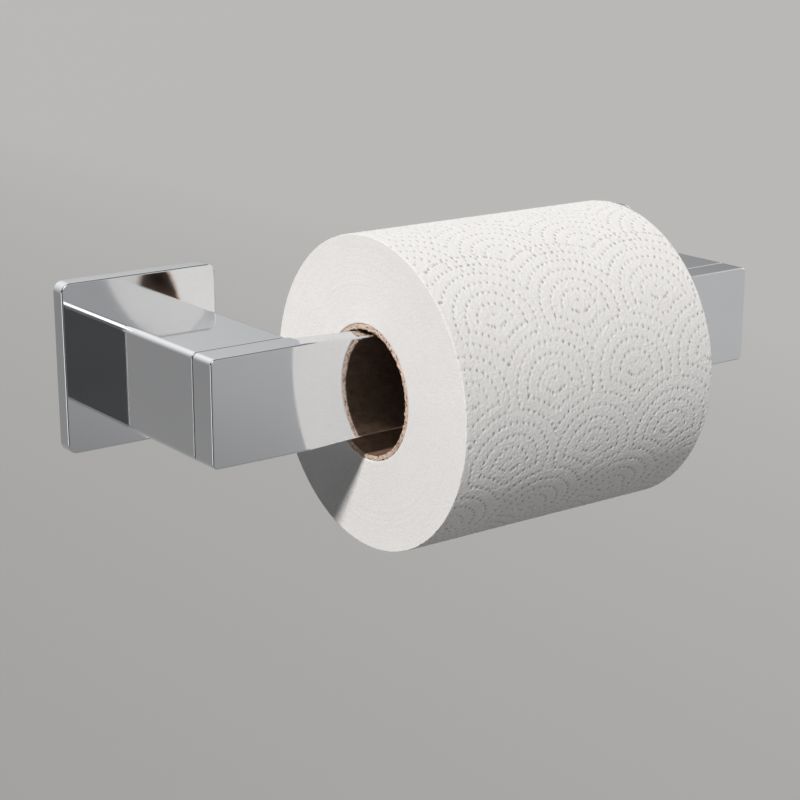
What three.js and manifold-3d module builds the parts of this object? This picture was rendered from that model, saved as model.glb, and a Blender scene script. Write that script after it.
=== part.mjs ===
// Two-post toilet paper holder with a lift-up arm and a roll of paper on it.
// Millimetres, +Z up. The wall is the plane y = 0 and the holder stands out along -Y.
// The origin is on the wall, midway between the two posts, at the height of their centres.
import * as THREE from 'three';
import { mergeVertices } from 'three/addons/utils/BufferGeometryUtils.js';
import Module from 'manifold-3d';

const wasm = await Module();
wasm.setup();

// Driving dimensions
const SPAN = 216;              // over the posts' outer faces
const PLATE = 55;              // side of the square wall plate
const PLATE_THICK = 5.5;
const PLATE_CORNER = 3.2;
const PLATE_SKIN = 1.6;        // front of the plate, in front of its recess
const RECESS = 43;             // side of the recess in the plate's back
const RECESS_CORNER = 2;
const POST = 33;               // side of the square post
const EDGE = 1.4;              // rounding along the long edges of posts and arm
const REACH = 75.5;            // wall to the arm's front face
const BLOCK_THICK = 10;        // the arm's end block
const SLIT = 0.5;              // gap between post and arm
const BAR_THICK = 8;
const BAR_HEIGHT = 31;         // bar where the roll sits; its ends are as high as the posts
const BAR_SEAT = 104;          // length of that level stretch
const SHOULDER = 2;            // rounding where the bar meets an end block
const ARM_CORNER = 0.8;        // bevel of the arm's four outer corners
const ROLL_LENGTH = 98;
const ROLL_OFFSET = -2;        // the roll's middle, a little towards the pivot
const ROLL_RADIUS = 49.5;
const CORE_RADIUS = 21.2;      // outside of the cardboard tube
const CORE_WALL = 1.6;
const GAP = 0.3;               // between pieces that touch
const PAST = 1;                // a cut runs this far past the face that it opens

// Places worked out from them
const postX = (SPAN - POST) / 2;
const blockBackY = -REACH + BLOCK_THICK;
const postFrontY = blockBackY + SLIT;
const postBackY = -PLATE_THICK - GAP;
const barBackY = -REACH + BAR_THICK;
const barMiddleY = -REACH + BAR_THICK / 2;
const blockInnerX = SPAN / 2 - POST;
const coreInside = CORE_RADIUS - CORE_WALL;
// The tube hangs on both top edges of the bar.
const rollZ = BAR_HEIGHT / 2 - Math.sqrt(coreInside ** 2 - (BAR_THICK / 2) ** 2) + GAP;

// Pivot and catch; a bare name like SHANK is a radius
const BORE = 8;                // bore up the middle of each post, from the wall
const FRONT_WALL = 13.5;       // post metal between that bore and the slit
const boreEndY = postFrontY + FRONT_WALL;
const SHANK = 3;               // pivot screw's shoulder, and the catch peg
const THREAD = 2.5;
const THREAD_LENGTH = 7.1;
const CHAMFER = 0.6;
const HEAD = 5.2;              // heads of the pivot screw and the catch peg
const PIVOT_HEAD_THICK = 3.6;
const HEX_SOCKET = 2.3;
const HEX_DEPTH = 2;
const BUSH = 5;
const FLANGE = 7.2;
const FLANGE_THICK = 1.5;
const WASHER = 9.6;
const WASHER_SEAT = 10;
const WASHER_SEAT_DEPTH = 1;
const SPRING = 6.6;
const SPRING_SHEET = 0.8;
const SPRING_RISE = 0.3;       // height of the disc spring's cone
const STOP_RADIUS = 12.6;      // stop pin's distance from the pivot
const STOP_PIN = 1.5;
const STOP_PIN_HOLE = 5;       // depth of its hole in the arm
const STOP_REST = 225;         // degrees, from +X towards +Z, with the arm down
const STOP_GROOVE_DEPTH = 4.5;
const STOP_SLACK = 0.005;      // radians past each end of the swing
const SWING = 90;              // degrees the arm lifts
const PEG_REACH = 5.2;         // catch peg, in front of the slit
const PEG_HEAD_THICK = 2.5;
const SLEEVE = 4.5;
const SLEEVE_LENGTH = 4.7;
const NOTCH_DEPTH = 5.8;
const NOTCH_MOUTH = 7.5;       // half width of the notch where it opens downwards

// Fasteners
const SCREW_OFFSET = 11.5;     // post screws above and below the post's middle
const SCREW_SHANK = 1.9;
const SCREW_GRIP = 10.5;       // length of a post screw inside the post
const SCREW_TIP = 1;
const SCREW_HEAD = 3.6;
const SCREW_HEAD_THICK = 2;
const CROSS_LENGTH = 3.6;
const CROSS_WIDTH = 0.9;
const CROSS_DEPTH = 1.2;
const BRACKET = 40;
const BRACKET_THICK = 3;
const BRACKET_CORNER = 2;
const WINDOW_WIDTH = 14;
const WINDOW_HEIGHT = 33;
const BRACKET_HOLE = 2.3;
const BRACKET_HOLE_X = 14;
const SINK = 4.6;              // countersink's radius at the bracket's front
const SINK_LAND = 0.2;
const SINK_DEPTH = 2.1;
const SET_SCREW = 1.4;
const SET_SCREW_Y = -2.3;
const SET_SOCKET = 0.8;
const SET_SOCKET_DEPTH = 1.5;

// Facets round a turned piece
const SMALL_SIDES = 24;
const SIDES = 40;
const TUBE_SIDES = 64;
const ROLL_SIDES = 96;

const finish = (color, roughness, metalness) => (
  new THREE.MeshStandardMaterial({ color, roughness, metalness })
);
const chrome = finish(0xc8cacc, 0.06, 1);
const steel = finish(0x9a9c9e, 0.35, 1);
const zinc = finish(0x8e9296, 0.5, 0.9);
const nylon = finish(0xe9e7df, 0.5, 0);
const cardboard = finish(0xb98d68, 0.9, 0);
const tissue = finish(0xf3f1ee, 0.95, 0);

function solid(geometry) {
  const plain = geometry.index ? geometry.toNonIndexed() : geometry.clone();
  plain.deleteAttribute('normal');
  plain.deleteAttribute('uv');
  const merged = mergeVertices(plain, 1e-4);
  return new wasm.Manifold(new wasm.Mesh({
    numProp: 3,
    vertProperties: new Float32Array(merged.attributes.position.array),
    triVerts: new Uint32Array(merged.index.array),
  }));
}

function geometryOf(body) {
  const mesh = body.getMesh();
  const geometry = new THREE.BufferGeometry();
  geometry.setAttribute('position', new THREE.BufferAttribute(mesh.vertProperties, 3));
  geometry.setIndex(new THREE.BufferAttribute(mesh.triVerts, 1));
  geometry.computeVertexNormals();
  return geometry;
}

const extrusion = (depth) => ({ depth, bevelEnabled: false, curveSegments: 6 });

// An outline in X and Z, extruded from y = front back to y = back (front < back).
function slabFacingFront(shape, front, back) {
  const geometry = new THREE.ExtrudeGeometry(shape, extrusion(back - front));
  geometry.rotateX(Math.PI / 2);
  geometry.translate(0, back, 0);
  return geometry;
}

function roundedSquare(side, radius, centreX = 0, centreZ = 0) {
  const half = side / 2;
  const left = centreX - half;
  const right = centreX + half;
  const low = centreZ - half;
  const high = centreZ + half;
  const shape = new THREE.Shape();
  shape.moveTo(left + radius, low);
  shape.lineTo(right - radius, low);
  shape.absarc(right - radius, low + radius, radius, -Math.PI / 2, 0);
  shape.lineTo(right, high - radius);
  shape.absarc(right - radius, high - radius, radius, 0, Math.PI / 2);
  shape.lineTo(left + radius, high);
  shape.absarc(left + radius, high - radius, radius, Math.PI / 2, Math.PI);
  shape.lineTo(left, low + radius);
  shape.absarc(left + radius, low + radius, radius, Math.PI, Math.PI * 1.5);
  return shape;
}

function box(x, y, z, width, depth, height) {
  return new THREE.BoxGeometry(width, depth, height).translate(x, y, z);
}

// A round solid about a line along Y; the profile is a list of [radius, y], from the axis back to the axis.
function turned(profile, x = 0, z = 0, sides = SIDES) {
  const points = profile.map(([radius, y]) => new THREE.Vector2(radius, y));
  return new THREE.LatheGeometry(points, sides).translate(x, 0, z);
}

function rod(radius, front, back, x = 0, z = 0, sides = SIDES) {
  return turned([[0, front], [radius, front], [radius, back], [0, back]], x, z, sides);
}

function ring(inside, outside, front, back, x) {
  return turned([[inside, front], [outside, front], [outside, back], [inside, back], [inside, front]], x);
}

const holder = new THREE.Group();

function add(name, geometry, material) {
  const mesh = new THREE.Mesh(geometry, material);
  mesh.name = name;
  holder.add(mesh);
}

function wallPlate(x) {
  const recessFloor = -PLATE_THICK + PLATE_SKIN;
  let plate = solid(slabFacingFront(roundedSquare(PLATE, PLATE_CORNER, x), -PLATE_THICK, 0));
  plate = plate.subtract(solid(slabFacingFront(roundedSquare(RECESS, RECESS_CORNER, x), recessFloor, PAST)));
  for (const z of [-SCREW_OFFSET, SCREW_OFFSET]) {
    plate = plate.subtract(solid(rod(SCREW_SHANK + GAP, -PLATE_THICK - PAST, 0, x, z, SMALL_SIDES)));
  }
  const rim = (PLATE - RECESS) / 2;
  const hole = new THREE.CylinderGeometry(SET_SCREW + GAP, SET_SCREW + GAP, rim + 2 * PAST, SMALL_SIDES);
  hole.rotateX(Math.PI / 2).translate(x, SET_SCREW_Y, -(PLATE + RECESS) / 4);
  return geometryOf(plate.subtract(solid(hole)));
}

// Bracket screwed to the wall, with a window in its middle and a countersunk hole at each side.
function wallBracket(x) {
  const front = -BRACKET_THICK;
  let bracket = solid(slabFacingFront(roundedSquare(BRACKET, BRACKET_CORNER, x), front, 0));
  bracket = bracket.subtract(solid(box(x, 0, 0, WINDOW_WIDTH, 4 * BRACKET_THICK, WINDOW_HEIGHT)));
  const sink = [
    [0, front - PAST], [SINK, front - PAST], [SINK, front + SINK_LAND], [BRACKET_HOLE, front + SINK_DEPTH],
    [BRACKET_HOLE, PAST], [0, PAST],
  ];
  for (const side of [-1, 1]) {
    bracket = bracket.subtract(solid(turned(sink, x + side * BRACKET_HOLE_X)));
  }
  return geometryOf(bracket);
}

function setScrew(x) {
  const length = (PLATE - BRACKET) / 2 - 2 * GAP;
  const middle = -(PLATE + BRACKET) / 4;
  const body = new THREE.CylinderGeometry(SET_SCREW, SET_SCREW, length, SMALL_SIDES).rotateX(Math.PI / 2);
  const socket = new THREE.CylinderGeometry(SET_SOCKET, SET_SOCKET, 2 * SET_SOCKET_DEPTH, 6);
  socket.rotateX(Math.PI / 2).translate(0, 0, -length / 2);
  return geometryOf(solid(body).subtract(solid(socket))).translate(x, SET_SCREW_Y, middle);
}

function postScrew(x, z) {
  const tip = postBackY - SCREW_GRIP;
  const headFront = -PLATE_THICK + PLATE_SKIN + GAP;
  const headBack = headFront + SCREW_HEAD_THICK;
  const profile = [
    [0, tip], [SCREW_SHANK - CHAMFER, tip], [SCREW_SHANK, tip + SCREW_TIP],
    [SCREW_SHANK, headFront], [SCREW_HEAD, headFront], [SCREW_HEAD, headBack - CHAMFER],
    [SCREW_HEAD - CHAMFER, headBack], [0, headBack],
  ];
  let screw = solid(turned(profile, x, z, SMALL_SIDES));
  for (const [width, height] of [[CROSS_LENGTH, CROSS_WIDTH], [CROSS_WIDTH, CROSS_LENGTH]]) {
    screw = screw.subtract(solid(box(x, headBack, z, width, 2 * CROSS_DEPTH, height)));
  }
  return geometryOf(screw);
}

// Post with a bore from the back and two screw holes; each end finishes its own front wall.
function postBody(x) {
  let post = solid(slabFacingFront(roundedSquare(POST, EDGE, x), postFrontY, postBackY));
  post = post.subtract(solid(rod(BORE, boreEndY, 0, x)));
  for (const z of [-SCREW_OFFSET, SCREW_OFFSET]) {
    const end = postBackY - SCREW_GRIP - PAST;
    post = post.subtract(solid(rod(SCREW_SHANK + GAP, end, 0, x, z, SMALL_SIDES)));
  }
  return post;
}

function pivotPost(x) {
  let post = postBody(x);
  post = post.subtract(solid(rod(BUSH + GAP, postFrontY - PAST, boreEndY + PAST, x)));
  post = post.subtract(solid(rod(WASHER_SEAT, postFrontY - PAST, postFrontY + WASHER_SEAT_DEPTH, x)));
  return geometryOf(post.subtract(solid(stopGroove(x))));
}

// Arc-shaped groove that the stop pin runs in; its ends stop the arm level and upright.
function stopGroove(x) {
  const width = STOP_PIN + GAP;
  const start = THREE.MathUtils.degToRad(STOP_REST) - STOP_SLACK;
  const end = THREE.MathUtils.degToRad(STOP_REST + SWING) + STOP_SLACK;
  const shape = new THREE.Shape();
  shape.absarc(x, 0, STOP_RADIUS + width, start, end, false);
  shape.absarc(x + STOP_RADIUS * Math.cos(end), STOP_RADIUS * Math.sin(end), width, end, end + Math.PI,
    false);
  shape.absarc(x, 0, STOP_RADIUS - width, end, start, true);
  shape.absarc(x + STOP_RADIUS * Math.cos(start), STOP_RADIUS * Math.sin(start), width, start + Math.PI,
    start + 2 * Math.PI, false);
  return slabFacingFront(shape, postFrontY - PAST, postFrontY + STOP_GROOVE_DEPTH);
}

function catchPost(x) {
  return geometryOf(postBody(x).subtract(solid(rod(SHANK + GAP, postFrontY - PAST, boreEndY + PAST, x))));
}

function stopPinPlace() {
  const angle = THREE.MathUtils.degToRad(STOP_REST);
  return [-postX + STOP_RADIUS * Math.cos(angle), STOP_RADIUS * Math.sin(angle)];
}

// The arm: its plan (x, y) and its front outline (x, z), crossed.
function arm() {
  const end = SPAN / 2;
  const plan = new THREE.Shape();
  plan.moveTo(-end, -REACH);
  plan.lineTo(end, -REACH);
  plan.lineTo(end, blockBackY);
  plan.lineTo(blockInnerX + SHOULDER, blockBackY);
  plan.absarc(blockInnerX + SHOULDER, barBackY, SHOULDER, Math.PI / 2, Math.PI, false);
  plan.lineTo(-blockInnerX, barBackY);
  plan.absarc(-blockInnerX - SHOULDER, barBackY, SHOULDER, 0, Math.PI / 2, false);
  plan.lineTo(-end, blockBackY);
  const planSlab = new THREE.ExtrudeGeometry(plan, extrusion(POST + 2 * PAST));
  planSlab.translate(0, 0, -POST / 2 - PAST);

  const front = new THREE.Shape();
  const outline = [
    [end, POST / 2 - ARM_CORNER], [end - ARM_CORNER, POST / 2], [blockInnerX, POST / 2],
    [BAR_SEAT / 2, BAR_HEIGHT / 2], [-BAR_SEAT / 2, BAR_HEIGHT / 2], [-blockInnerX, POST / 2],
    [-end + ARM_CORNER, POST / 2], [-end, POST / 2 - ARM_CORNER],
  ];
  const lower = outline.map(([x, z]) => [x, -z]).reverse();
  front.setFromPoints([...outline, ...lower].map(([x, z]) => new THREE.Vector2(x, z)));
  let body = solid(planSlab).intersect(solid(slabFacingFront(front, -REACH - PAST, postFrontY)));

  const threadEnd = blockBackY - THREAD_LENGTH - GAP;
  body = body.subtract(solid(rod(THREAD + GAP, threadEnd, blockBackY + PAST, -postX)));
  const pinHoleEnd = blockBackY - STOP_PIN_HOLE;
  const pinHole = rod(STOP_PIN + GAP, pinHoleEnd, blockBackY + PAST, ...stopPinPlace(), SMALL_SIDES);
  body = body.subtract(solid(pinHole));

  const notch = new THREE.Shape();
  notch.moveTo(postX - NOTCH_MOUTH, -POST / 2 - PAST);
  notch.lineTo(postX + NOTCH_MOUTH, -POST / 2 - PAST);
  notch.lineTo(postX + SLEEVE + GAP, 0);
  notch.absarc(postX, 0, SLEEVE + GAP, 0, Math.PI, false);
  const notchSlab = slabFacingFront(notch, blockBackY - NOTCH_DEPTH, blockBackY + PAST);
  return geometryOf(body.subtract(solid(notchSlab)));
}

for (const [side, x] of [['left', -postX], ['right', postX]]) {
  add(`wall_bracket_${side}`, wallBracket(x), zinc);
  add(`wall_plate_${side}`, wallPlate(x), chrome);
  add(`set_screw_${side}`, setScrew(x), steel);
  add(`post_screw_${side}_lower`, postScrew(x, -SCREW_OFFSET), steel);
  add(`post_screw_${side}_upper`, postScrew(x, SCREW_OFFSET), steel);
}
add('post_left', pivotPost(-postX), chrome);
add('post_right', catchPost(postX), chrome);

// Pivot in the left post: a shoulder screw through a flanged bush, held by a disc spring.
const washerFront = blockBackY + GAP;
const washerBack = postFrontY + WASHER_SEAT_DEPTH - GAP;
const bushFront = postFrontY + WASHER_SEAT_DEPTH + GAP;
const flangeFront = boreEndY + GAP;
const flangeBack = flangeFront + FLANGE_THICK;
const springFront = flangeBack + GAP;
const springBack = springFront + SPRING_SHEET + SPRING_RISE;
const pivotHeadFront = springBack + GAP;
const pivotHeadBack = pivotHeadFront + PIVOT_HEAD_THICK;
const threadTip = blockBackY - THREAD_LENGTH;
add('pivot_bush', turned([
  [SHANK + GAP, bushFront], [BUSH, bushFront], [BUSH, flangeFront], [FLANGE, flangeFront],
  [FLANGE, flangeBack], [SHANK + GAP, flangeBack], [SHANK + GAP, bushFront],
], -postX), nylon);
add('pivot_washer', ring(SHANK + GAP, WASHER, washerFront, washerBack, -postX), nylon);
add('disc_spring', turned([
  [SHANK + GAP, springFront + SPRING_RISE], [SPRING, springFront], [SPRING, springFront + SPRING_SHEET],
  [SHANK + GAP, springBack], [SHANK + GAP, springFront + SPRING_RISE],
], -postX), steel);
const hexSocket = new THREE.CylinderGeometry(HEX_SOCKET, HEX_SOCKET, 2 * HEX_DEPTH, 6);
hexSocket.translate(-postX, pivotHeadBack, 0);
const pivotScrew = solid(turned([
  [0, threadTip], [THREAD - CHAMFER, threadTip], [THREAD, threadTip + CHAMFER],
  [THREAD, blockBackY + GAP], [SHANK, blockBackY + GAP], [SHANK, pivotHeadFront], [HEAD, pivotHeadFront],
  [HEAD, pivotHeadBack - CHAMFER], [HEAD - CHAMFER, pivotHeadBack], [0, pivotHeadBack],
], -postX));
add('pivot_screw', geometryOf(pivotScrew.subtract(solid(hexSocket))), steel);
const pinFront = blockBackY - STOP_PIN_HOLE + GAP;
const pinBack = postFrontY + STOP_GROOVE_DEPTH - GAP;
add('stop_pin', rod(STOP_PIN, pinFront, pinBack, ...stopPinPlace(), SMALL_SIDES), steel);

// Catch in the right post: a headed peg that the arm's notch drops over, with a sleeve against rattle.
const pegTip = blockBackY - PEG_REACH;
const pegHeadFront = boreEndY + GAP;
const pegHeadBack = pegHeadFront + PEG_HEAD_THICK;
add('catch_peg', turned([
  [0, pegTip], [SHANK - CHAMFER, pegTip], [SHANK, pegTip + CHAMFER], [SHANK, pegHeadFront],
  [HEAD, pegHeadFront], [HEAD, pegHeadBack], [0, pegHeadBack],
], postX), steel);
const sleeveBack = blockBackY - GAP;
add('catch_sleeve', ring(SHANK + GAP, SLEEVE, sleeveBack - SLEEVE_LENGTH, sleeveBack, postX), nylon);

add('arm', arm(), chrome);

// The roll, on its cardboard tube.
function tube(inside, outside, sides) {
  const half = ROLL_LENGTH / 2;
  const profile = [[inside, -half], [outside, -half], [outside, half], [inside, half], [inside, -half]];
  return turned(profile, 0, 0, sides).rotateZ(Math.PI / 2).translate(ROLL_OFFSET, barMiddleY, rollZ);
}
add('core_tube', tube(coreInside, CORE_RADIUS, TUBE_SIDES), cardboard);
add('paper_roll', tube(CORE_RADIUS + GAP, ROLL_RADIUS, ROLL_SIDES), tissue);

export default holder;
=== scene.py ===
"""Looks for the two-post toilet paper holder: polished chrome, a cardboard tube and embossed tissue."""
import math

import bmesh
import bpy
import numpy as np
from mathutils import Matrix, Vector

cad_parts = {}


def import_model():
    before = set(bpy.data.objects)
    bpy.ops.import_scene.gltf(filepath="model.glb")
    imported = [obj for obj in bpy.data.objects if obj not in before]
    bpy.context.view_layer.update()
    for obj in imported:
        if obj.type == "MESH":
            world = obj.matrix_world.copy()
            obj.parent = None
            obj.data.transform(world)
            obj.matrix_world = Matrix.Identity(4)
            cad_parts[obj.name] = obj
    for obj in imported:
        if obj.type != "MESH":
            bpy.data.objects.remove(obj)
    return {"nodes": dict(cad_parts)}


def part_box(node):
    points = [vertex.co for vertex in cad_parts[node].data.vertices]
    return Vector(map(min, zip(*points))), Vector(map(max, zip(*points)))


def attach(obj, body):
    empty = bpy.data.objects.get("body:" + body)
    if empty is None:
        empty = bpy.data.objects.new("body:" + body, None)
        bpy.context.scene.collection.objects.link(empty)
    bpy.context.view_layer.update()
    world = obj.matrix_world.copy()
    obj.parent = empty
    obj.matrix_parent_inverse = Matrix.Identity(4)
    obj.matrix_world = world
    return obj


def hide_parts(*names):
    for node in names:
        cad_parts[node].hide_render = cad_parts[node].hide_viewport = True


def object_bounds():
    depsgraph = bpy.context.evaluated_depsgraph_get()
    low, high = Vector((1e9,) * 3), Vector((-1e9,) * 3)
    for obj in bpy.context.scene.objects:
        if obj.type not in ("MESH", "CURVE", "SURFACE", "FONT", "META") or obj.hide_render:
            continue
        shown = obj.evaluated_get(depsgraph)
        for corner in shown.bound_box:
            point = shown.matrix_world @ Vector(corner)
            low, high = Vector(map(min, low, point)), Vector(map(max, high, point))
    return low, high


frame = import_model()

CAD_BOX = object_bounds()
MM = 0.001
rng = np.random.default_rng(7)


def grey(level):
    return (level, level, level)


# Camera: degrees, metres, and millimetres for the lens and its film
CAMERA_AZIMUTH = -36.31
CAMERA_ELEVATION = 15.86
CAMERA_DISTANCE = 0.6211
CAMERA_LENS = 86.16
CAMERA_FILM = 36         # width
CAMERA_REACH = 100       # it sees this far
CAMERA_AIM = Vector((-0.0217, 0.0116, -0.0124))    # from the middle of the object

# Studio, in metres: a floor whose tones the chrome reflects, and a pale round wall far behind it
FLOOR_DROP = 0.55        # under the object
FLOOR_HALF = 30
FLOOR_FROM = -4.4        # the floor's tones run from here to here along X
FLOOR_TO = 2.0
FLOOR_TURN = 0.3         # half width of the change between the floor behind and in front
FLOOR_BEHIND = ((0.0, (0.370, 0.368, 0.366)), (0.46, (0.250, 0.250, 0.252)), (0.50, (0.250, 0.250, 0.252)),
                (0.845, (0.395, 0.393, 0.391)), (1.0, (0.460, 0.457, 0.454)))
FLOOR_IN_FRONT = ((0.0, (0.370, 0.368, 0.366)), (0.46, (0.250, 0.250, 0.252)),
                  (0.795, (0.250, 0.250, 0.253)), (0.85, (0.390, 0.390, 0.392)),
                  (0.89, (0.440, 0.440, 0.442)), (0.985, (0.490, 0.490, 0.492)))
BACKDROP_RADIUS = 12
BACKDROP_LOW = -2
BACKDROP_HIGH = 10
BACKDROP_SIDES = 96
BACKDROP_TONES = ((0.0, grey(0.40)), (0.5, grey(0.43)), (1.0, grey(0.47)))

# Cards that only reflections see, from the middle of the object
FLAG_CORNERS = ((-1.35, -0.55, -0.5), (-0.35, -1.35, -0.5), (-0.35, -1.35, -0.06), (-1.35, -0.55, -0.06))
CARD_CORNERS = ((-1.5, -0.28, -0.5), (-1.5, 0.28, -0.5), (-1.5, 0.28, 0.1), (-1.5, -0.28, 0.1))
CARD_GLOW = 1.1
BOX_CORNERS = ((-1.125, -1.12, 0.5), (-0.125, -1.58, 0.5), (0.125, -1.04, 1.3), (-0.875, -0.58, 1.3))
BOX_GLOW = 1.5

# Lights: a sun lamp, and bright zones of the world, each a direction and its tones from far to near
KEY_FROM = (-1.3, -0.60, 1.0)
KEY_POWER = 3.15
KEY_SOFTNESS = 6         # degrees
KEY_COLOR = (1.0, 0.985, 0.965)
ZONE_BEHIND = ((-0.05, 0.7, 0.7), ((0.0, grey(0.05)), (0.38, grey(0.09)), (0.56, grey(0.27)),
                                   (0.72, grey(0.55)), (0.90, grey(0.85)), (0.97, grey(1.0))))
ZONE_AT_RIGHT = ((1.0, -0.15, 0.3), ((0.80, grey(0.0)), (0.95, grey(0.9))))
ZONE_IN_FRONT = ((0.55, -0.72, -0.35), ((0.20, grey(0.0)), (0.75, grey(0.36))))

# Metal parts, in millimetres
PLATE_CORNER = 3.2
PLATE_EDGE = 0.6
PLATE_BACK_EDGE = 0.15
PLATE_SKIN = 1.6
RECESS = 43
RECESS_CORNER = 2
RECESS_EDGE = 0.2
SCREW_HOLE = 1.7         # radius of the hole for the set screw
HOLE_BELOW = 3           # how far that hole goes past its screw
HOLE_ABOVE = 1
HOLE_SIDES = 32
LONG_EDGE = 1.8          # rounding along the long edges of posts and arm
SLIT_EDGE = 0.3          # rounding at both sides of the slit
FACE_EDGE = 0.5          # rounding round the arm's front face
BAR_THICK = 8
BAR_HEIGHT = 31
BAR_SEAT = 104           # the bar is level over this length
SHOULDER = 2
PEG_HOLE = 3.3
BORE = 8
FRONT_WALL = 13.5
WASHER_SEAT = 10
WASHER_DEEP = 1.0
PEG_DEEP = 0.5
PIN_ROOM = 0.3           # round the stop pin in its groove
PIN_TRACK_SIDES = 16     # along that groove, and round each of its ends
PIN_END_SIDES = 6
NOTCH_HALF = 7.5         # the arm's notch for the catch
NOTCH_DEEP = 5.8
NOTCH_ROOM = 0.3         # round the catch's sleeve
NOTCH_SIDES = 24
CUT_PAST = 1             # how far the notch's cutter reaches past the arm
STATIONS = (0.0, 20.0, 40.0)    # where the arm's outline has points, with some at each bend
STATION_STEPS = 9
BEND_EASE = 1            # a bend is this much to both sides
CIRCLE_START = 4         # degrees from a square's corner point to the circle's
BRACKET_EDGE = 0.25
SCREW_EDGE = 0.12

# Angles above which an edge stays sharp, in degrees
SHARP_METAL = 40
SHARP_CUT = 35
SHARP_PAPER = 75
SHARP_BOARD = 60

# Paper, in millimetres: rows of fans, each row over the one above it, drawn by rings of small dots
FAN_PITCH = 32.3         # between fans along the roll
FAN_ROWS = 14            # rows of fans round the roll
FAN_PLACE = 1.0          # first fan, from the middle of the roll
FAN_TURN = 60            # degrees from the front towards the top, first row
FAN_SQUEEZE = 0.94       # fans are a little wider than high
FAN_RADIUS = 15.5        # rings inside it cover the row above
FAN_SKIRT = 5            # its lower edge bends down by this much
FAN_SKIRT_AT = 14.4      # at this distance from its middle
FAN_GAP = 0.3            # free of dots between two fans
DOTS_PAST = 1            # dots are drawn up to this far past the roll's ends
RINGS = 7
RING_FIRST = 2.4
RING_STEP = 3.75
FIRST_DOTS = 3           # the first ring has this many dots
FIRST_TURN = 0.5         # and is turned by this much, in radians
DOT_STEP = 2.1           # between the dots of one ring
DOT_LEFT = 0.24          # a dot's left wall is steep
DOT_RIGHT = 0.55         # and its right wall gentle
DOT_TALL = 0.60
DOT_DEPTH = 0.19
DOT_SHAPE = 1.4          # above 1, a dot has a flatter floor and steeper walls
DOT_REACH = 1.9          # the sheet is bent this far from a dot's middle
DOT_WANDER = 0.07        # random shift of each dot
DOT_SIZES = 0.12         # spread of the dots' depths, as a share
GROOVE = 0.05            # the paper dips along each ring
GROOVE_WIDE = 0.45
GRAIN = 0.030            # fine roughness of the sheet
END_DISH = 0.05          # the roll's ends are hollow by this much
END_FELT = 0.014         # and rough by this much
END_WAVES = (4, 0.04)    # how many slow ripples, and their size
SHEET_FIRST = 0.15       # sheet edges at the roll's ends: from the tube outwards
SHEET_STEP = 0.42
SHEET_DRIFT = 0.012
SHEET_WAVES = (7, 0.006)
ROLL_AROUND = 1152       # points round the roll, and loops along it
ROLL_ALONG = 360
ROLL_EDGE = 0.25
ROLL_EDGE_STEPS = 4
ROLL_WAVES = (5, 0.10)
ROLL_SAG = 0.4           # the paper hangs this much lower than its tube
ROLL_BORE = 0.05         # between the tube and the paper
BORE_END = 0.4           # the paper's bore ends this far inside its ends
TAIL_ANGLE = 330         # degrees about the roll's axis, from +Y towards +Z
TAIL_STEP = 0.3
TAIL_FADE = 1.3          # the step fades out in a turn divided by this
TAIL_CURVE = 1.5
TOP_ROOM = 0.30          # the plain cylinder stays this far inside the CAD roll

# Tube, in millimetres
TUBE_WALL = 1.6
TUBE_AROUND = 480        # points round the tube, and loops along it
TUBE_ALONG = 110
LINING_END = 0.35        # the lining ends this far inside the tube's ends
OUTSIDE_END = 0.5        # and the outer face ends this far inside them
SEAM_LEAD = 62.0         # the seam goes this far in one turn
SEAM_DEEP = 0.16
SEAM_WIDE = 0.55
PLY_STEP = 0.10
FRAY_INSIDE = 0.10
FRAY_END = 0.11
CUT_STEPS = 8
CUT_EDGE = 0.16
CUT_BACK = 0.12          # the cut ends lie this far inside the paper's
CUT_FRONT = 0.08         # and their fibres stand out past them by no more than this
CUT_SKIN = 0.04          # a cut end is thinner than the wall by this much on each face


# Places of the CAD nodes, in millimetres

def span(node):
    """The two corners of a node's box."""
    low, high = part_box(node)
    return low / MM, high / MM


ARM_LOW, ARM_HIGH = span("arm")
ARM_FRONT = ARM_LOW.y
BLOCK_BACK = ARM_HIGH.y
ARM_HALF = ARM_HIGH.z
ARM_END = ARM_HIGH.x
ROLL_LOW, ROLL_HIGH = span("paper_roll")
TUBE_LOW, TUBE_HIGH = span("core_tube")
ROLL_MIDDLE = (ROLL_LOW + ROLL_HIGH) / 2
ROLL_RADIUS = (ROLL_HIGH.z - ROLL_LOW.z) / 2
ROLL_LENGTH = ROLL_HIGH.x - ROLL_LOW.x
TUBE_RADIUS = (TUBE_HIGH.z - TUBE_LOW.z) / 2
POST_INNER = span("post_right")[0].x


# Meshes

def piece(name, points, faces, body, slot, material, replaced=()):
    """A mesh given in millimetres, riding on a body and standing for CAD nodes."""
    mesh = bpy.data.meshes.new(name)
    mesh.from_pydata([Vector(p) * MM for p in points], [], faces)
    mesh.validate()
    mesh.materials.append(material)
    obj = bpy.data.objects.new(name, mesh)
    bpy.context.scene.collection.objects.link(obj)
    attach(obj, body)
    if replaced:
        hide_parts(*replaced)
    return obj


def smooth(obj, angle):
    """Smooth shading, but for edges sharper than the angle."""
    obj.data.polygons.foreach_set("use_smooth", [True] * len(obj.data.polygons))
    obj.data.set_sharp_from_angle(angle=math.radians(angle))


def flat_faces_stay_flat(obj):
    """Large flat faces keep their own normal, and the roundings next to them blend into it."""
    weighted = obj.modifiers.new("face weighted normals", "WEIGHTED_NORMAL")
    weighted.weight = 100
    weighted.keep_sharp = True


def outward(obj):
    """All normals point out of the solid."""
    edit = bmesh.new()
    edit.from_mesh(obj.data)
    bmesh.ops.recalc_face_normals(edit, faces=edit.faces)
    edit.to_mesh(obj.data)
    edit.free()


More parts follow.
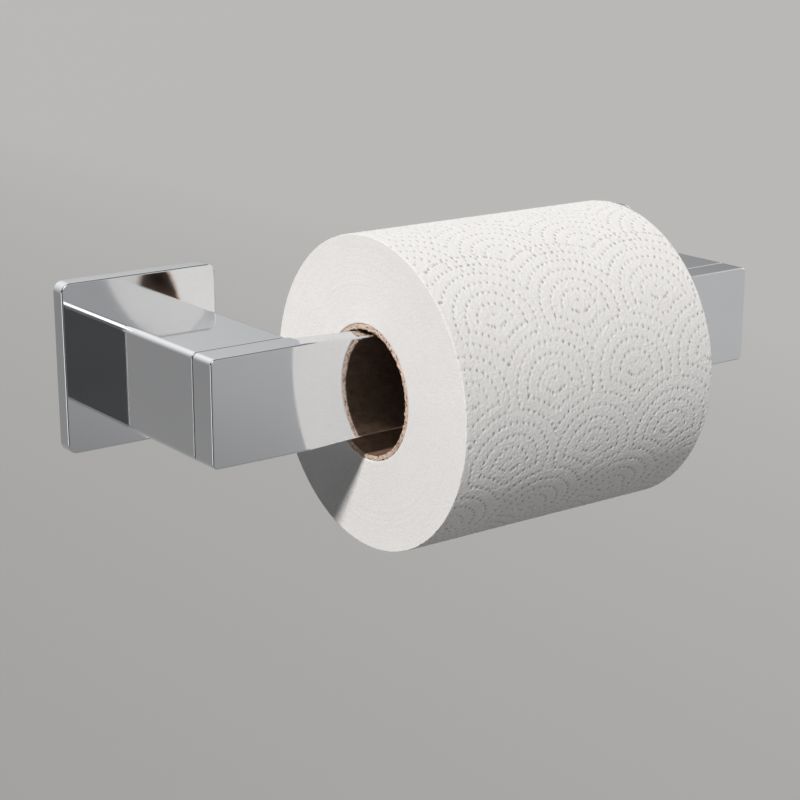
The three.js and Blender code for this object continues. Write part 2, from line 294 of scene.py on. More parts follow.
def loft(loops, closed=False, caps=True):
    """Points and quads that join loops of equal length; the ends close by one face each, or on each other."""
    count = len(loops[0])
    points = [p for loop in loops for p in loop]
    faces = []
    pairs = len(loops) if closed else len(loops) - 1
    for row in range(pairs):
        here = row * count
        there = (row + 1) % len(loops) * count
        for i in range(count):
            j = (i + 1) % count
            faces.append((here + i, here + j, there + j, there + i))
    if caps and not closed:
        faces.append(tuple(range(count))[::-1])
        faces.append(tuple(range(len(points) - count, len(points))))
    return points, faces


def rounded_square(x, y, half, radius, steps=8):
    """A loop in X and Z at one y, which starts half way along its right side."""
    loop = []
    for quarter in range(4):
        middle = math.radians(45 + 90 * quarter)
        corner_x = x + (half - radius) * (1 if math.cos(middle) > 0 else -1)
        corner_z = (half - radius) * (1 if math.sin(middle) > 0 else -1)
        for step in range(steps + 1):
            angle = math.radians(90 * quarter + 90 * step / steps)
            loop.append((corner_x + radius * math.cos(angle), y, corner_z + radius * math.sin(angle)))
    return loop


def circle_for(square, x, y, radius):
    """A circle with one point for each point of a rounded square round the same middle."""
    count = len(square)
    steps = count // 4
    loop = []
    for i in range(count):
        quarter, step = divmod(i, steps)
        angle = math.radians(90 * quarter + CIRCLE_START + (90 - 2 * CIRCLE_START) * step / (steps - 1))
        loop.append((x + radius * math.cos(angle), y, radius * math.sin(angle)))
    return loop


def circle(x, y, z, radius, sides):
    """A level circle."""
    turns = np.linspace(0, 2 * math.pi, sides, endpoint=False)
    return [(x + radius * math.cos(a), y + radius * math.sin(a), z) for a in turns]


def arc(x, z, radius, first, last, steps):
    """Points in X and Z on part of an upright circle, from one angle to another."""
    turns = np.linspace(first, last, steps + 1)
    return [(x + radius * math.cos(a), z + radius * math.sin(a)) for a in turns]


def edge_arc(radius, steps=5):
    """(inset, depth) pairs round a quarter edge, from the flat end to the side."""
    pairs = []
    for k in range(steps + 1):
        angle = math.pi / 2 * k / steps
        pairs.append((radius * (1 - math.sin(angle)), radius * (1 - math.cos(angle))))
    return pairs


def grid_piece(name, loops, body, material, replaced):
    """Like piece, for many loops of points that close round a ring."""
    rows, around = len(loops), len(loops[0])
    points = np.concatenate(loops) * MM
    index = np.arange(rows * around).reshape(rows, around)
    after = np.roll(index, -1, axis=0)
    quads = np.stack([index, np.roll(index, -1, axis=1), np.roll(after, -1, axis=1), after], axis=-1)
    quads = quads.reshape(-1, 4)
    mesh = bpy.data.meshes.new(name)
    mesh.vertices.add(len(points))
    mesh.vertices.foreach_set("co", points.astype(np.float32).ravel())
    mesh.loops.add(quads.size)
    mesh.loops.foreach_set("vertex_index", quads.astype(np.int32).ravel())
    mesh.polygons.add(len(quads))
    mesh.polygons.foreach_set("loop_start", np.arange(0, quads.size, 4, dtype=np.int32))
    mesh.update(calc_edges=True)
    mesh.materials.append(material)
    obj = bpy.data.objects.new(name, mesh)
    bpy.context.scene.collection.objects.link(obj)
    outward(obj)
    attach(obj, body)
    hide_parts(*replaced)
    return obj


def cut(obj, points, faces):
    """Takes a solid out of a piece, for good."""
    mesh = bpy.data.meshes.new("cutter")
    mesh.from_pydata([Vector(p) * MM for p in points], [], faces)
    tool = bpy.data.objects.new("cutter", mesh)
    bpy.context.scene.collection.objects.link(tool)
    outward(tool)
    boolean = obj.modifiers.new("cut", "BOOLEAN")
    boolean.operation = "DIFFERENCE"
    boolean.solver = "EXACT"
    boolean.object = tool
    graph = bpy.context.evaluated_depsgraph_get()
    result = bpy.data.meshes.new_from_object(obj.evaluated_get(graph))
    obj.modifiers.remove(boolean)
    obj.data = result
    bpy.data.objects.remove(tool)


# Materials

def set_stops(ramp, stops):
    """Positions and colours of a colour ramp that starts with two elements."""
    elements = ramp.color_ramp.elements
    for i, (position, color) in enumerate(stops):
        element = elements[i] if i < 2 else elements.new(position)
        element.position = position
        element.color = (*color, 1)


class Nodes:
    """Short names for building a node material."""

    def __init__(self, name):
        self.material = bpy.data.materials.new(name)
        self.material.use_nodes = True
        self.tree = self.material.node_tree
        self.shader = self.tree.nodes["Principled BSDF"]
        self.place = self.add("ShaderNodeTexCoord").outputs["Object"]

    def add(self, kind, **settings):
        node = self.tree.nodes.new(kind)
        for key, value in settings.items():
            setattr(node, key, value)
        return node

    def link(self, output, socket):
        self.tree.links.new(output, socket)

    def set(self, **values):
        for key, value in values.items():
            self.shader.inputs[key.replace("_", " ")].default_value = value

    def scaled(self, factors):
        mapping = self.add("ShaderNodeMapping")
        mapping.inputs["Scale"].default_value = factors
        self.link(self.place, mapping.inputs["Vector"])
        return mapping.outputs["Vector"]

    def wound(self, factors):
        """Coordinates along the roll's axis, away from it and round it, each with its own scale."""
        split = self.add("ShaderNodeSeparateXYZ")
        self.link(self.place, split.inputs["Vector"])
        y = self.math("SUBTRACT", split.outputs["Y"], ROLL_MIDDLE.y * MM)
        z = self.math("SUBTRACT", split.outputs["Z"], ROLL_MIDDLE.z * MM)
        squares = self.math("ADD", self.math("MULTIPLY", y, y), self.math("MULTIPLY", z, z))
        away = self.math("SQRT", squares)
        turn = self.math("ARCTAN2", z, y)
        join = self.add("ShaderNodeCombineXYZ")
        for value, factor, name in ((split.outputs["X"], factors[0], "X"), (away, factors[1], "Y"),
                                    (turn, factors[2], "Z")):
            self.link(self.math("MULTIPLY", value, factor), join.inputs[name])
        return join.outputs["Vector"]

    def math(self, operation, first, second=None):
        node = self.add("ShaderNodeMath", operation=operation)
        for value, socket in ((first, node.inputs[0]), (second, node.inputs[1])):
            if isinstance(value, (int, float)):
                socket.default_value = value
            elif value is not None:
                self.link(value, socket)
        return node.outputs["Value"]

    def noise(self, scale, detail=4, roughness=0.5, vector=None):
        node = self.add("ShaderNodeTexNoise")
        node.inputs["Scale"].default_value = scale
        node.inputs["Detail"].default_value = detail
        node.inputs["Roughness"].default_value = roughness
        self.link(vector or self.place, node.inputs["Vector"])
        return node.outputs["Fac"]

    def ramp(self, value, *stops):
        node = self.add("ShaderNodeValToRGB")
        set_stops(node, stops)
        self.link(value, node.inputs["Fac"])
        return node.outputs["Color"]

    def range(self, value, low, high, start=0.0, end=1.0):
        node = self.add("ShaderNodeMapRange")
        node.inputs["From Min"].default_value = start
        node.inputs["From Max"].default_value = end
        node.inputs["To Min"].default_value = low
        node.inputs["To Max"].default_value = high
        self.link(value, node.inputs["Value"])
        return node.outputs["Result"]

    def mix(self, factor, first, second):
        node = self.add("ShaderNodeMix", data_type="RGBA")
        self.link(factor, node.inputs["Factor"])
        for value, socket in ((first, node.inputs["A"]), (second, node.inputs["B"])):
            if isinstance(value, tuple):
                socket.default_value = (*value, 1)
            else:
                self.link(value, socket)
        return node.outputs["Result"]

    def color(self, output):
        self.link(output, self.shader.inputs["Base Color"])

    def rough(self, output):
        self.link(output, self.shader.inputs["Roughness"])

    def bump(self, height, distance, strength=1.0, below=None):
        node = self.add("ShaderNodeBump")
        node.inputs["Strength"].default_value = strength
        node.inputs["Distance"].default_value = distance
        self.link(height, node.inputs["Height"])
        if below is not None:
            self.link(below, node.inputs["Normal"])
        self.link(node.outputs["Normal"], self.shader.inputs["Normal"])
        return node.outputs["Normal"]


def chrome_material():
    n = Nodes("polished chrome")
    n.set(Metallic=1.0)
    haze = n.noise(38, 5, 0.6)
    n.color(n.ramp(haze, (0.3, (0.792, 0.806, 0.824)), (0.7, (0.818, 0.831, 0.848))))
    wipes = n.noise(60, 3, 0.6, n.scaled((0.35, 1.0, 1.6)))
    n.rough(n.range(wipes, 0.045, 0.085, 0.35, 0.75))
    n.bump(n.noise(9, 1, 0.4), 0.00002, 0.12)
    return n.material


def steel_material():
    n = Nodes("turned steel")
    n.set(Metallic=1.0)
    grain = n.noise(900, 2, 0.6, n.scaled((1.0, 6.0, 1.0)))
    n.color(n.ramp(n.noise(120, 4), (0.3, grey(0.46)), (0.7, grey(0.58))))
    n.rough(n.range(grain, 0.22, 0.42))
    n.bump(grain, 0.00003, 0.5)
    return n.material


def zinc_material():
    n = Nodes("zinc plated steel")
    n.set(Metallic=1.0)
    spangle = n.add("ShaderNodeTexVoronoi", feature="F1")
    spangle.inputs["Scale"].default_value = 420
    n.link(n.place, spangle.inputs["Vector"])
    tone = n.ramp(spangle.outputs["Color"], (0.0, (0.50, 0.53, 0.56)), (1.0, (0.66, 0.69, 0.71)))
    n.color(tone)
    n.rough(n.range(n.noise(150, 4), 0.28, 0.5))
    n.bump(n.noise(700, 4), 0.00004, 0.5)
    return n.material


def nylon_material():
    n = Nodes("natural nylon")
    n.color(n.ramp(n.noise(80, 3), (0.3, (0.80, 0.78, 0.72)), (0.7, (0.88, 0.86, 0.81))))
    n.rough(n.range(n.noise(300, 3), 0.42, 0.6))
    n.bump(n.noise(900, 3), 0.00004, 0.4)
    n.set(Subsurface_Weight=0.2, Subsurface_Scale=0.002)
    return n.material


def cardboard_material(name, light, middle, dark, speck, shares):
    """Tube board: a mottled ground with specks that lie along the winding."""
    n = Nodes(name)
    fibres = n.noise(1.0, 5, 0.7, n.wound((700, 2600, 22)))
    board = n.ramp(n.noise(1.0, 6, 0.7, n.wound((260, 500, 9))), (0.28, dark), (0.5, middle), (0.72, light))
    spots = n.noise(1.0, 3, 0.7, n.wound((900, 1500, 17)))
    specks = n.ramp(spots, (shares[0], grey(0)), (shares[1], grey(1)))
    n.color(n.mix(specks, board, speck))
    n.rough(n.range(fibres, 0.80, 0.98))
    n.bump(fibres, 0.0003, 0.9)
    n.set(Specular_IOR_Level=0.2)
    return n.material


def tissue_material():
    n = Nodes("embossed tissue")
    cloud = n.noise(70, 5, 0.6)
    ground = n.ramp(cloud, (0.3, (0.820, 0.806, 0.796)), (0.7, (0.850, 0.838, 0.828)))
    freckles = n.ramp(n.noise(1400, 3, 0.8), (0.35, grey(1)), (0.50, grey(0)))
    sheet = n.mix(freckles, ground, (0.775, 0.758, 0.745))
    # Painted shade: each pit is darkened towards this brown grey at its middle, standing in for the shade
    # inside it
    painted_pit_shade = n.add("ShaderNodeAttribute", attribute_name="painted_pit_shade")
    n.color(n.mix(painted_pit_shade.outputs["Fac"], sheet, (0.400, 0.380, 0.365)))
    n.rough(n.range(n.noise(600, 3), 0.88, 1.0))
    fibre = n.noise(2600, 4, 0.75, n.scaled((1.0, 0.6, 0.6)))
    crepe = n.noise(1300, 3, 0.7, n.scaled((0.8, 1.3, 1.3)))
    sheets = n.noise(1.0, 2, 0.6, n.wound((0, 2400, 1.2)))
    first = n.bump(sheets, 0.00006, 0.5)
    second = n.bump(crepe, 0.00030, 0.45, first)
    n.bump(fibre, 0.00025, 0.5, second)
    n.set(Specular_IOR_Level=0.12, Sheen_Weight=0.2, Sheen_Roughness=0.6)
    return n.material


CHROME = chrome_material()
STEEL = steel_material()
ZINC = zinc_material()
NYLON = nylon_material()
BOARD = cardboard_material("tube board", (0.78, 0.64, 0.55), (0.69, 0.53, 0.43), (0.50, 0.33, 0.24),
                           (0.095, 0.035, 0.018), (0.56, 0.60))
# The lining is kraft brown, and its colours are darkened further as painted shade for the inside of the tube
SHADED_KRAFT = cardboard_material("tube lining with painted shade", (0.30, 0.20, 0.145), (0.23, 0.148, 0.10), (0.15, 0.09, 0.06),
                           (0.05, 0.022, 0.012), (0.64, 0.70))
TISSUE = tissue_material()


# Posts and plates

def stop_groove(obj, x):
    """Takes the groove that the stop pin runs in, a quarter turn about the pivot, out of a post's front."""
    low, high = span("stop_pin")
    pin = (low + high) / 2
    away = math.hypot(pin.x - x, pin.z)
    wide = (high.x - low.x) / 2 + PIN_ROOM
    start = math.atan2(pin.z, pin.x - x)
    end = start + math.pi / 2
    end_x, end_z = x + away * math.cos(end), away * math.sin(end)
    outline = arc(x, 0, away + wide, start, end, PIN_TRACK_SIDES)
    outline += arc(end_x, end_z, wide, end, end + math.pi, PIN_END_SIDES)[1:-1]
    outline += arc(x, 0, away - wide, end, start, PIN_TRACK_SIDES)
    outline += arc(pin.x, pin.z, wide, start - math.pi, start, PIN_END_SIDES)[1:-1]
    cut(obj, *loft([[(px, y, pz) for px, pz in outline] for y in (low.y, high.y + PIN_ROOM)]))


def post(side, front_hole, hole_depth):
    """A post with a stepped hole: a seat or a small hole at its front, and a wide bore from the wall."""
    low, high = span(f"post_{side}")
    x = (low.x + high.x) / 2
    half = (high.x - low.x) / 2
    plate_low, _ = span(f"wall_plate_{side}")
    front, back = low.y, plate_low.y
    loops = [rounded_square(x, back, half, LONG_EDGE)]
    for inset, depth in reversed(edge_arc(SLIT_EDGE)):
        loops.append(rounded_square(x, front + depth, half - inset, LONG_EDGE - inset))
    square = loops[-1]
    bore_end = front + FRONT_WALL
    for radius, y in ((front_hole, front), (front_hole, front + hole_depth), (PEG_HOLE, front + hole_depth),
                      (PEG_HOLE, bore_end), (BORE, bore_end), (BORE, back)):
        loops.append(circle_for(square, x, y, radius))
    obj = piece(f"post_{side}_body", *loft(loops, closed=True), "posts", "chrome", CHROME, [f"post_{side}"])
    outward(obj)
    if side == "left":
        stop_groove(obj, x)
    smooth(obj, SHARP_METAL)
    flat_faces_stay_flat(obj)


def wall_plate(side):
    """A plate with a recess for its bracket, and a hole in its lower side for the set screw."""
    low, high = span(f"wall_plate_{side}")
    x = (low.x + high.x) / 2
    half = (high.x - low.x) / 2
    front = low.y
    loops = []
    for inset, depth in edge_arc(PLATE_EDGE):
        loops.append(rounded_square(x, front + depth, half - inset, PLATE_CORNER - inset))
    loops.append(rounded_square(x, -PLATE_BACK_EDGE, half, PLATE_CORNER))
    loops.append(rounded_square(x, 0, half - PLATE_BACK_EDGE, PLATE_CORNER - PLATE_BACK_EDGE))
    loops.append(rounded_square(x, 0, RECESS / 2 + RECESS_EDGE, RECESS_CORNER + RECESS_EDGE))
    loops.append(rounded_square(x, -RECESS_EDGE, RECESS / 2, RECESS_CORNER))
    loops.append(rounded_square(x, front + PLATE_SKIN, RECESS / 2, RECESS_CORNER))
    obj = piece(f"plate_{side}", *loft(loops), "posts", "chrome", CHROME, [f"wall_plate_{side}"])
    outward(obj)
    screw_low, screw_high = span(f"set_screw_{side}")
    middle = (screw_low + screw_high) / 2
    ends = (screw_low.z - HOLE_BELOW, screw_high.z + HOLE_ABOVE)
    cut(obj, *loft([circle(middle.x, middle.y, z, SCREW_HOLE, HOLE_SIDES) for z in ends]))
    smooth(obj, SHARP_CUT)
    flat_faces_stay_flat(obj)


# The arm: a front outline whose top and bottom match, so that front and back close in upright strips

def half_height(x):
    """Half the arm's height, which eases down from the end blocks to the level seat of the roll."""
    share = (abs(x) - BAR_SEAT / 2) / (POST_INNER - BAR_SEAT / 2)
    return BAR_HEIGHT / 2 + (ARM_HALF - BAR_HEIGHT / 2) * min(max(share, 0), 1)


def back_of(x):
    """The arm's back face: thick at the end blocks, thin along the bar, with a rounded shoulder."""
    past = abs(x) - POST_INNER
    bar_back = ARM_FRONT + BAR_THICK
    if past <= 0:
        return bar_back
    if past >= SHOULDER:
        return BLOCK_BACK
    return bar_back + (BLOCK_BACK - bar_back) * math.sqrt(1 - (1 - past / SHOULDER) ** 2)


def arm_stations():
    """Places along the arm where its outline has points."""
    turns = np.linspace(0, math.pi / 2, STATION_STEPS)
    shoulder = [POST_INNER + SHOULDER * (1 - math.cos(a)) for a in turns]
    side = [ARM_END - LONG_EDGE * (1 - math.sin(a)) for a in turns]
    bends = (BAR_SEAT / 2 - BEND_EASE, BAR_SEAT / 2 + BEND_EASE, POST_INNER - BEND_EASE)
    right = sorted({*STATIONS, *bends, *shoulder, (POST_INNER + ARM_END) / 2, *side})
    return [-x for x in reversed(right) if x > 0] + right


def height_at(x, inset):
    """Half the arm's height with its rounded end, on an outline that lies inside the full one."""
    radius = LONG_EDGE - inset
    past = max(abs(x) - (ARM_END - LONG_EDGE), 0)
    return half_height(x) - inset - radius * (1 - math.sqrt(1 - min(past / radius, 1) ** 2))


def arm():
    """The bar with its two end blocks, and a notch in one of them for the catch."""
    stations = arm_stations()
    rows = []
    for inset, depth in edge_arc(FACE_EDGE):
        rows.append((inset, lambda x, d=depth: ARM_FRONT + d))
    for inset, depth in reversed(edge_arc(SLIT_EDGE)):
        rows.append((inset, lambda x, d=depth: back_of(x) - d))

    flat = ARM_END - LONG_EDGE
    loops = []
    for inset, depth_at in rows:
        top = []
        for x in stations:
            past = abs(x) - flat
            squeezed = x
            if past > 0:
                squeezed = math.copysign(flat + past * (LONG_EDGE - inset) / LONG_EDGE, x)
            top.append((squeezed, depth_at(x), height_at(squeezed, inset)))
        loops.append(top + [(x, y, -z) for x, y, z in reversed(top)])
    points, faces = loft(loops, caps=False)
    ring = len(loops[0])
    for start in (0, len(points) - ring):
        for i in range(len(stations) - 1):
            faces.append((start + i, start + i + 1, start + ring - 2 - i, start + ring - 1 - i))
    obj = piece("arm_body", points, faces, "arm", "chrome", CHROME, ["arm"])
    outward(obj)

    peg_low, peg_high = span("catch_sleeve")
    x = (peg_low.x + peg_high.x) / 2
    reach = (peg_high.x - peg_low.x) / 2 + NOTCH_ROOM
    outline = [(x - NOTCH_HALF, -ARM_HALF - CUT_PAST), (x + NOTCH_HALF, -ARM_HALF - CUT_PAST)]
    outline += arc(x, 0, reach, 0, math.pi, NOTCH_SIDES)
    ends = (BLOCK_BACK - NOTCH_DEEP, BLOCK_BACK + CUT_PAST)
    cut(obj, *loft([[(px, y, pz) for px, pz in outline] for y in ends]))
    smooth(obj, SHARP_CUT)
    flat_faces_stay_flat(obj)


# The roll

def round_loop(x, radius, angles):
    """Points round the roll's axis; x and radius may be one number or one for each angle."""
    y = ROLL_MIDDLE.y + radius * np.cos(angles)
    z = ROLL_MIDDLE.z + radius * np.sin(angles)
    return np.stack([ROLL_MIDDLE.x + x + 0 * angles, y, z], axis=1)


def fan_row(row):
    """How far a row of fans is shifted along the roll, and how far up the sheet it lies."""
    shift = FAN_PLACE + FAN_PITCH / 2 * ((row + 1) % 2)
    step = 2 * math.pi * ROLL_RADIUS / FAN_ROWS
    return shift, math.radians(FAN_TURN) * ROLL_RADIUS + row * step


def fan_of(along, up):
    """Which fan's rings run through each place on the sheet: its row, its middle, and how far off that is."""
    found = np.full(along.shape, False)
    row_of = np.zeros(along.shape, dtype=int)
    middle_of = np.zeros(along.shape)
    radius_of = np.full(along.shape, np.inf)
    for row in range(-FAN_ROWS, FAN_ROWS):
        shift, height = fan_row(row)
        middle = np.round((along - shift) / FAN_PITCH) * FAN_PITCH + shift
        across = along - middle
        rise = up - height
        radius = np.hypot(across * FAN_SQUEEZE, rise)
        skirt = FAN_SKIRT * (np.abs(across) / FAN_SKIRT_AT) ** 4
        own = (radius < FAN_RADIUS) & (rise > -skirt)
        nearest = ~found & (rise > 0) & (radius < radius_of)
        for mask in (own, nearest & ~own):
            row_of[mask] = row % FAN_ROWS
            middle_of[mask] = middle[mask]
            radius_of[mask] = radius[mask]
        found |= own
    return row_of, middle_of, radius_of


def fan_dots():
    """Dots on the rings of every fan, where no other fan lies over them: along and up the sheet."""
    columns = int(ROLL_LENGTH / FAN_PITCH / 2) + 2
    dots = []
    for row in range(FAN_ROWS):
        shift, height = fan_row(row)
        for column in range(-columns, columns + 1):
            middle = shift + column * FAN_PITCH
            for ring in range(RINGS):
                radius = RING_FIRST + ring * RING_STEP
                count = FIRST_DOTS if ring == 0 else round(2 * math.pi * radius / DOT_STEP / 2) * 2
                turns = (np.arange(count) + 0.5) * 2 * math.pi / count + (FIRST_TURN if ring == 0 else 0)
                along = middle + radius * np.cos(turns) / FAN_SQUEEZE
                up = height + radius * np.sin(turns)
                if ring == 0:
                    keep = np.abs(along) < ROLL_LENGTH / 2
                else:
                    owner, its_middle, _ = fan_of(along, up)
                    keep = (owner == row) & (np.abs(its_middle - middle) < FAN_PITCH / 2)
                    keep &= np.abs(along) < ROLL_LENGTH / 2 + DOTS_PAST
                    keep &= np.abs(along - middle) < FAN_PITCH / 2 - FAN_GAP
                dots.extend(zip(along[keep], up[keep]))
    return dots


def embossing(along, up):
    """Height of the outer sheet over its plain cylinder, and a mask of painted shade for its dots, on a grid
    along and up the sheet.
    """
    girth = 2 * math.pi * ROLL_RADIUS
    grid_x, grid_u = np.meshgrid(along, up, indexing="ij")
    _, _, radius = fan_of(grid_x, grid_u)
    ring = np.clip(np.round((radius - RING_FIRST) / RING_STEP), 0, RINGS - 1)
    from_ring = np.abs(radius - RING_FIRST - ring * RING_STEP)
    height = -GROOVE * np.exp(-(from_ring / GROOVE_WIDE) ** 2)
    dots = np.zeros_like(height)
    step_x = along[1] - along[0]
    step_u = girth / len(up)
    wide = int(DOT_REACH / step_x) + 1
    tall = int(DOT_REACH / step_u) + 1
    for dot_x, dot_u in fan_dots():
        dot_x += rng.normal(0, DOT_WANDER)
        dot_u += rng.normal(0, DOT_WANDER)
        size = rng.normal(1, DOT_SIZES)
        first = int((dot_x - along[0]) / step_x) - wide
        rows = np.arange(max(first, 0), min(first + 2 * wide + 2, len(along)))
        if not len(rows):
            continue
        middle = int((up[0] - dot_u) / step_u)
        columns = np.arange(middle - tall, middle + tall + 2)
        du = up[0] - columns * step_u - dot_u
        dx, du = (along[rows] - dot_x)[:, None], du[None, :]
        across = dx / np.where(dx < 0, DOT_LEFT, DOT_RIGHT)
        dot = np.exp(-(across ** 2 + (du / DOT_TALL) ** 2) ** DOT_SHAPE) * size
        block = np.ix_(rows, columns % len(up))
        dots[block] = np.maximum(dots[block], dot)
    grain = rng.normal(0, 1, height.shape)
    for axis in (0, 1):
        grain = (np.roll(grain, 1, axis) + 2 * grain + np.roll(grain, -1, axis)) / 4
    # The dots squared mark where the pits get painted shade
    return height - DOT_DEPTH * dots + GRAIN * grain / grain.std(), dots ** 2


def waves(angles, count, size):
    """Slow random ripples round the axis."""
    total = np.zeros_like(angles)
    for k in range(1, count + 1):
        total += rng.normal(0, size / k) * np.sin(k * angles + rng.uniform(0, 2 * math.pi))
    return total


def paper_roll():
    """The wound paper: an embossed outer sheet with a loose tail, and sheet edges at both ends."""
    angles = np.arange(ROLL_AROUND) * 2 * math.pi / ROLL_AROUND
    half = ROLL_LENGTH / 2
    inner = TUBE_RADIUS + ROLL_BORE
    shape = waves(angles, *ROLL_WAVES) - ROLL_SAG * np.sin(angles)
    past_tail = np.mod(math.radians(TAIL_ANGLE) - angles, 2 * math.pi) / (2 * math.pi)
    shape -= TAIL_STEP * np.clip(1 - past_tail * TAIL_FADE, 0, 1) ** TAIL_CURVE
    edge = edge_arc(ROLL_EDGE, ROLL_EDGE_STEPS)
    along = np.linspace(-half + ROLL_EDGE, half - ROLL_EDGE, ROLL_ALONG)
    relief, dots = embossing(along, (math.pi - angles) * ROLL_RADIUS)
    top = ROLL_RADIUS - TOP_ROOM

    def end_face(sign):
        """Sheet edges of one end, from the tube outwards."""
        radii = np.arange(inner + SHEET_FIRST, top - ROLL_EDGE, SHEET_STEP)
        drift = rng.normal(0, SHEET_DRIFT, len(radii))
        loops = []
        slow = waves(angles, *END_WAVES)
        for k, radius in enumerate(radii):
            share = (radius - inner) / (top - inner)
            dish = END_DISH * math.sin(math.pi * share)
            local = waves(angles, *SHEET_WAVES) + rng.normal(0, END_FELT, ROLL_AROUND)
            x = half - dish + drift[k] + slow * share + local
            loops.append(round_loop(sign * np.minimum(x, half), radius + shape * share, angles))
        return loops

    def rim(sign, row):
        """The rounded edge between one end and the outer sheet."""
        loops = []
        for inset, depth in edge:
            blend = 1 - inset / ROLL_EDGE
            radius = top - inset + shape + relief[row] * blend ** 2
            loops.append(round_loop(sign * (half - depth), radius, angles))
        return loops

    loops = [round_loop(x, inner, angles) for x in (-half + BORE_END, 0, half - BORE_END)]
    loops += end_face(1)
    loops += rim(1, -1)
    first_row = len(loops)
    for row in range(ROLL_ALONG - 2, 0, -1):
        loops.append(round_loop(along[row], top + shape + relief[row], angles))
    loops += rim(-1, 0)[::-1]
    loops += end_face(-1)[::-1]
    obj = grid_piece("paper", loops, "roll", TISSUE, ["paper_roll"])
    # The dots' mask becomes a point attribute that paints shade into the pits
    painted_pit_shade = np.zeros((len(loops), ROLL_AROUND), dtype=np.float32)
    painted_pit_shade[first_row:first_row + ROLL_ALONG - 2] = dots[ROLL_ALONG - 2:0:-1]
    attribute = obj.data.attributes.new("painted_pit_shade", "FLOAT", "POINT")
    attribute.data.foreach_set("value", painted_pit_shade.ravel())
    smooth(obj, SHARP_PAPER)


def blurred(values, times):
    """A ring of numbers smoothed along itself, brought back to its own spread."""
    for _ in range(times):
        values = (np.roll(values, 1) + 2 * values + np.roll(values, -1)) / 4
    return values / values.std()


def core_tube():
    """Spiral-wound board: a seam winds along the bore, and the cut ends are ragged."""
    angles = np.arange(TUBE_AROUND) * 2 * math.pi / TUBE_AROUND
    half = ROLL_LENGTH / 2
    inside = TUBE_RADIUS - TUBE_WALL
    loops = []
    for x in np.linspace(-half + LINING_END, half - LINING_END, TUBE_ALONG):
        turn = np.mod(angles - 2 * math.pi * x / SEAM_LEAD, 2 * math.pi)
        from_seam = np.minimum(turn, 2 * math.pi - turn) * inside
        seam = SEAM_DEEP * np.exp(-(from_seam / SEAM_WIDE) ** 2)
        ply = PLY_STEP * (turn / (2 * math.pi))
        loops.append(round_loop(x, inside + seam + ply, angles))
    inner_fray = blurred(rng.normal(0, 1, TUBE_AROUND), 3) * FRAY_INSIDE

    def cut_end(sign):
        """One ragged end, from the bore outwards."""
        rings = []
        for share in np.linspace(0, 1, CUT_STEPS):
            ragged = blurred(rng.normal(0, 1, TUBE_AROUND), 2) * FRAY_END
            edge = CUT_EDGE * max(1 - 4 * share, 4 * share - 3, 0) ** 2    # in the first and last quarter
            x = np.minimum(half - CUT_BACK - edge + ragged, half + CUT_FRONT)
            radius = inside + CUT_SKIN + share * (TUBE_WALL - 2 * CUT_SKIN) + inner_fray * (1 - share)
            rings.append(round_loop(sign * x, radius, angles))
        return rings

    loops += cut_end(1)
    loops += [round_loop(x, TUBE_RADIUS, angles) for x in (half - OUTSIDE_END, 0, -half + OUTSIDE_END)]
    loops += cut_end(-1)[::-1]
    obj = grid_piece("tube", loops, "roll", BOARD, ["core_tube"])
    # The bore gets the lining, whose colours are kraft brown with painted shade
    obj.data.materials.append(SHADED_KRAFT)
    lining = (TUBE_ALONG - 1) * TUBE_AROUND
    obj.data.polygons.foreach_set("material_index", [1] * lining + [0] * (len(loops) * TUBE_AROUND - lining))
    smooth(obj, SHARP_BOARD)


# Small CAD pieces that keep their shape

def dress(node, material, width=0.0):
    """A node material for a CAD piece, with its edges rounded by the given width."""
    obj = frame["nodes"][node]
    obj.data.materials.clear()
    obj.data.materials.append(material)
    if width:
        bevel = obj.modifiers.new("edge", "BEVEL")
        bevel.width = width * MM
        bevel.segments = 2
        bevel.limit_method = "ANGLE"
        bevel.angle_limit = math.radians(SHARP_METAL)
    flat_faces_stay_flat(obj)


# Studio

def placed(name, points, faces, material):
    """A piece of the studio, given in metres, which isn't part of the object."""
    mesh = bpy.data.meshes.new(name)
    mesh.from_pydata(points, [], faces)
    mesh.materials.append(material)
    obj = bpy.data.objects.new(name, mesh)
    bpy.context.scene.collection.objects.link(obj)
    return obj


def floor():
    """A plain floor, with tones that change along X, which doesn't light the object from below."""
    n = Nodes("pale floor")
    split = n.add("ShaderNodeSeparateXYZ")
    n.link(n.place, split.inputs["Vector"])
    across = n.range(split.outputs["X"], 0.0, 1.0, FLOOR_FROM, FLOOR_TO)
    ahead = n.range(split.outputs["Y"], 0.0, 1.0, FLOOR_TURN, -FLOOR_TURN)
    n.color(n.mix(ahead, n.ramp(across, *FLOOR_BEHIND), n.ramp(across, *FLOOR_IN_FRONT)))
    n.rough(n.range(n.noise(3, 2), 0.85, 0.95))
    n.set(Specular_IOR_Level=0.1)
    far = FLOOR_HALF
    z = CAD_BOX[0].z - FLOOR_DROP
    corners = [(x, y, z) for x, y in ((-far, -far), (far, -far), (far, far), (-far, far))]
    obj = placed("floor", corners, [(0, 1, 2, 3)], n.material)
    obj.visible_diffuse = False


